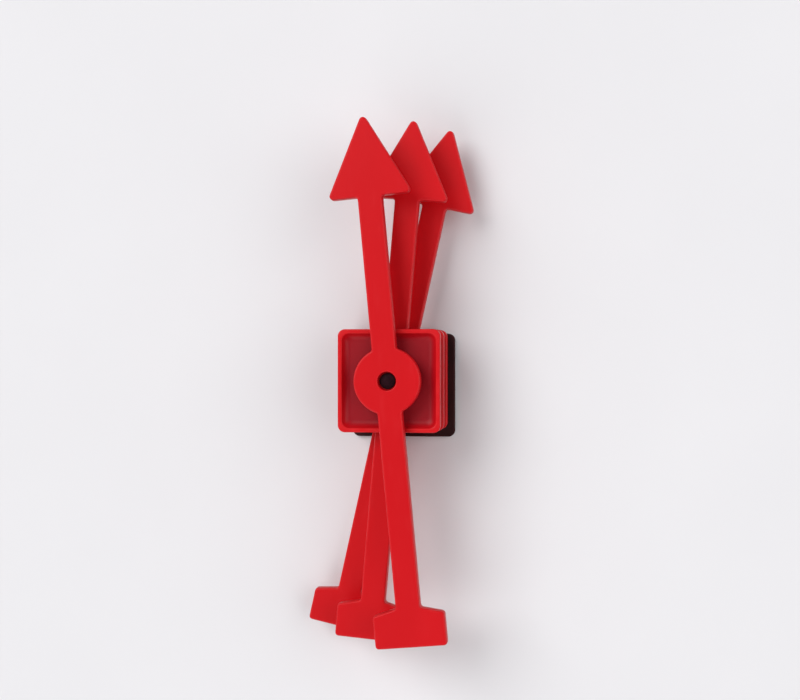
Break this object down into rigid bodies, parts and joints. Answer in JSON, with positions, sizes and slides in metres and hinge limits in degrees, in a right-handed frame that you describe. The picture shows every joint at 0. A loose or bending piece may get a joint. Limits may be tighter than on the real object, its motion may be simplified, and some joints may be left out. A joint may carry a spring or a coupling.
{
  "type": "game spinner",
  "caption": "Nested magnetic game spinners: each a flat arrow pointer with a round hub, turning freely on a pin in a square tray backed by a flexible magnet.",
  "frame": {"origin": "on the pivot axis, at the underside of the lowest magnet, where the stack rests", "axes": "+Z along the pivot axis from the magnets towards the pointers' faces; +Y the way a pointer points at zero degrees"},
  "size_m": [0.0482, 0.1481, 0.028],
  "materials": {
    "red_plastic": "satin moulded bright red",
    "magnet": "matt dark brown flexible magnet",
    "adhesive": "matt double-sided film",
    "dark_steel": "blackened",
    "nylon": "natural translucent white"
  },
  "bodies": {
    "lower_base": {"lower_magnet": "magnet", "lower_adhesive_sheet": "adhesive", "lower_base_tray": "red_plastic", "lower_push_nut": "dark_steel", "lower_pivot_pin": "dark_steel", "lower_slip_washer": "nylon"},
    "lower_arrow": {"lower_pointer": "red_plastic"},
    "middle_base": {"middle_magnet": "magnet", "middle_adhesive_sheet": "adhesive", "middle_base_tray": "red_plastic", "middle_push_nut": "dark_steel", "middle_pivot_pin": "dark_steel", "middle_slip_washer": "nylon"},
    "middle_arrow": {"middle_pointer": "red_plastic"},
    "upper_base": {"upper_magnet": "magnet", "upper_adhesive_sheet": "adhesive", "upper_base_tray": "red_plastic", "upper_push_nut": "dark_steel", "upper_pivot_pin": "dark_steel", "upper_slip_washer": "nylon"},
    "upper_arrow": {"upper_pointer": "red_plastic"}
  },
  "joints": [
    {"name": "lower_spin", "type": "hinge", "parent": "lower_base", "child": "lower_arrow", "pos_m": [0, 0, 0.0076], "axis": [0, 0, 1], "continuous": true},
    {"name": "middle_lift", "type": "slide", "parent": "lower_base", "child": "middle_base", "axis": [0, 0, 1], "range_m": [0, 0.03]},
    {"name": "middle_spin", "type": "hinge", "parent": "middle_base", "child": "middle_arrow", "pos_m": [0, 0, 0.017], "axis": [0, 0, 1], "continuous": true},
    {"name": "upper_lift", "type": "slide", "parent": "middle_base", "child": "upper_base", "axis": [0, 0, 1], "range_m": [0, 0.03]},
    {"name": "upper_spin", "type": "hinge", "parent": "upper_base", "child": "upper_arrow", "pos_m": [0, 0, 0.0264], "axis": [0, 0, 1], "continuous": true}
  ]
}
